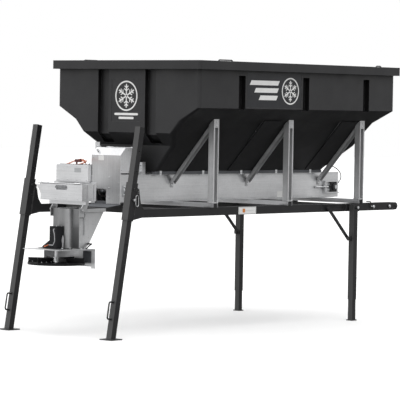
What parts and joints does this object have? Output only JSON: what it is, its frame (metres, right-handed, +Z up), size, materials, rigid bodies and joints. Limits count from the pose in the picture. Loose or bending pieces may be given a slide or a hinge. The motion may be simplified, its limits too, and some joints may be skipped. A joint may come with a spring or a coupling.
{
  "type": "hopper salt spreader on stand",
  "caption": "V-shaped plastic hopper spreader with drag conveyor, swing-up discharge chute and spinner disc, standing on a steel loading stand with folding legs and rollers.",
  "frame": {"origin": "floor level, under the middle of the whole object's bounding box", "axes": "+X from the spinner end towards the cab end, +Y towards the side with the gear motor, +Z up"},
  "size_m": [3.739, 1.582, 2.112],
  "materials": {
    "hopper_plastic": "moulded, soft sheen",
    "stainless": "mill finish sheet",
    "screen_black": "powder coat",
    "stand_black": "powder coat",
    "zinc": "zinc plated",
    "chain_steel": "oiled",
    "bearing_iron": "painted",
    "gearbox_paint": "satin",
    "case_black": "satin",
    "disc_black": "moulded",
    "hub_metal": "machined",
    "flap_rubber": "matte",
    "plug_black": "moulded",
    "lead_red": "insulation",
    "cable_grey": "insulation",
    "cable_black": "insulation",
    "roller_black": "moulded"
  },
  "bodies": {
    "frame": {"box_gasket": "flap_rubber", "chute_hanger": "stainless", "control_box": "stainless", "conveyor_chain": "chain_steel", "conveyor_deck": "stainless", "cross_channels": "stainless", "drive_bearings": "zinc", "drive_frame": "stainless", "fold_brackets": "stand_black", "front_cable": "cable_black", "gate_frame": "stainless", "gear_motor": "gearbox_paint", "guard_hinge_rod": "stainless", "harness_leads": "lead_red", "harness_plug": "plug_black", "rubber_seals": "flap_rubber", "hopper_tub": "hopper_plastic", "inverted_vee": "stainless", "leg_sleeves": "stand_black", "post_braces": "stainless", "rail_hooks": "stand_black", "rail_noses": "stand_black", "screen_ridge": "screen_black", "side_posts_left": "stainless", "side_posts_right": "stainless", "stand_rails": "stand_black", "takeup_frames": "stainless", "trough": "stainless"},
    "chute": {"chute": "stainless", "chute_lock": "zinc", "spinner_plate": "stainless", "plate_brackets": "case_black", "motor_case": "case_black", "spinner_motor": "gearbox_paint", "motor_cable": "cable_grey", "motor_leads": "lead_red", "spinner_shield": "stainless", "shield_flap": "flap_rubber"},
    "spinner": {"spinner_disc": "disc_black", "spinner_hub": "hub_metal"},
    "drive_shaft": {"drive_shaft": "zinc"},
    "takeup": {"idler_bearings": "bearing_iron"},
    "idler_shaft": {"idler_shaft": "zinc"},
    "feed_gate": {"feed_gate": "stainless"},
    "rear_guard": {"rear_guard": "stainless"},
    "drive_hood": {"drive_hood": "stainless"},
    "top_screen_left": {"top_screen_left": "screen_black"},
    "rear_leg_left": {"rear_leg_left": "stand_black"},
    "leg_pin_left": {"leg_pin_left": "zinc"},
    "front_leg_left": {"front_leg_left": "stand_black"},
    "front_foot_left": {"front_foot_left": "stand_black"},
    "leg_strut_left": {"leg_strut_left": "stand_black"},
    "roller_left": {"roller_left": "roller_black"},
    "top_screen_right": {"top_screen_right": "screen_black"},
    "rear_leg_right": {"rear_leg_right": "stand_black"},
    "leg_pin_right": {"leg_pin_right": "zinc"},
    "front_leg_right": {"front_leg_right": "stand_black"},
    "front_foot_right": {"front_foot_right": "stand_black"},
    "leg_strut_right": {"leg_strut_right": "stand_black"},
    "roller_right": {"roller_right": "roller_black"}
  },
  "joints": [
    {"name": "chute_swing", "type": "hinge", "parent": "frame", "child": "chute", "pos_m": [-1.5415, 0, 0.948], "axis": [0, 1, 0], "range_deg": [0, 70]},
    {"name": "spinner_spin", "type": "hinge", "parent": "chute", "child": "spinner", "pos_m": [-1.6525, 0, 0.56], "axis": [0, 0, 1], "continuous": true},
    {"name": "conveyor_drive", "type": "hinge", "parent": "frame", "child": "drive_shaft", "pos_m": [-1.0485, 0, 1.089], "axis": [0, 1, 0], "continuous": true},
    {"name": "chain_takeup", "type": "slide", "parent": "frame", "child": "takeup", "axis": [-1, 0, 0], "range_m": [0, 0.03]},
    {"name": "conveyor_idler", "type": "hinge", "parent": "takeup", "child": "idler_shaft", "pos_m": [1.5065, 0, 1.089], "axis": [0, 1, 0], "continuous": true},
    {"name": "feed_gate_lift", "type": "slide", "parent": "frame", "child": "feed_gate", "axis": [0, 0, 1], "range_m": [0, 0.07]},
    {"name": "rear_guard_hinge", "type": "hinge", "parent": "frame", "child": "rear_guard", "pos_m": [-1.6075, 0, 1.15], "axis": [0, 1, 0], "range_deg": [0, 95]},
    {"name": "drive_hood_hinge", "type": "hinge", "parent": "frame", "child": "drive_hood", "pos_m": [-0.9435, 0, 1.42], "axis": [0, 1, 0], "range_deg": [0, 60]},
    {"name": "top_screen_hinge_left", "type": "hinge", "parent": "frame", "child": "top_screen_left", "pos_m": [0.3265, -0.027, 2.066], "axis": [-1, 0, 0], "range_deg": [0, 85]},
    {"name": "leg_pin_slide_left", "type": "slide", "parent": "frame", "child": "leg_pin_left", "axis": [0, -1, 0], "range_m": [0, 0.09]},
    {"name": "rear_leg_slide_left", "type": "slide", "parent": "frame", "child": "rear_leg_left", "axis": [-0.177, 0, -0.9842], "range_m": [0, 0.25]},
    {"name": "front_leg_fold_left", "type": "hinge", "parent": "frame", "child": "front_leg_left", "pos_m": [1.2155, -0.617, 0.936], "axis": [0, -1, 0], "range_deg": [0, 88]},
    {"name": "leg_strut_fold_left", "type": "hinge", "parent": "front_leg_left", "child": "leg_strut_left", "pos_m": [1.1565, -0.61, 0.68], "axis": [0, -1, 0], "range_deg": [-47, 0]},
    {"name": "front_foot_slide_left", "type": "slide", "parent": "front_leg_left", "child": "front_foot_left", "axis": [0, 0, -1], "range_m": [0, 0.2]},
    {"name": "roller_spin_left", "type": "hinge", "parent": "frame", "child": "roller_left", "pos_m": [1.8385, -0.545, 0.936], "axis": [0, 1, 0], "continuous": true},
    {"name": "top_screen_hinge_right", "type": "hinge", "parent": "frame", "child": "top_screen_right", "pos_m": [0.3265, 0.027, 2.066], "axis": [1, 0, 0], "range_deg": [0, 85]},
    {"name": "leg_pin_slide_right", "type": "slide", "parent": "frame", "child": "leg_pin_right", "axis": [0, 1, 0], "range_m": [0, 0.09]},
    {"name": "rear_leg_slide_right", "type": "slide", "parent": "frame", "child": "rear_leg_right", "axis": [-0.177, 0, -0.9842], "range_m": [0, 0.25]},
    {"name": "front_leg_fold_right", "type": "hinge", "parent": "frame", "child": "front_leg_right", "pos_m": [1.2155, 0.617, 0.936], "axis": [0, -1, 0], "range_deg": [0, 88]},
    {"name": "leg_strut_fold_right", "type": "hinge", "parent": "front_leg_right", "child": "leg_strut_right", "pos_m": [1.1565, 0.61, 0.68], "axis": [0, -1, 0], "range_deg": [-47, 0]},
    {"name": "front_foot_slide_right", "type": "slide", "parent": "front_leg_right", "child": "front_foot_right", "axis": [0, 0, -1], "range_m": [0, 0.2]},
    {"name": "roller_spin_right", "type": "hinge", "parent": "frame", "child": "roller_right", "pos_m": [1.8385, 0.545, 0.936], "axis": [0, 1, 0], "continuous": true}
  ],
  "couplings": [
    {"joint": "conveyor_idler", "follows": "conveyor_drive", "ratio": 1},
    {"joint": "leg_strut_fold_left", "follows": "front_leg_fold_left", "ratio": -0.524},
    {"joint": "leg_strut_fold_right", "follows": "front_leg_fold_right", "ratio": -0.524}
  ]
}
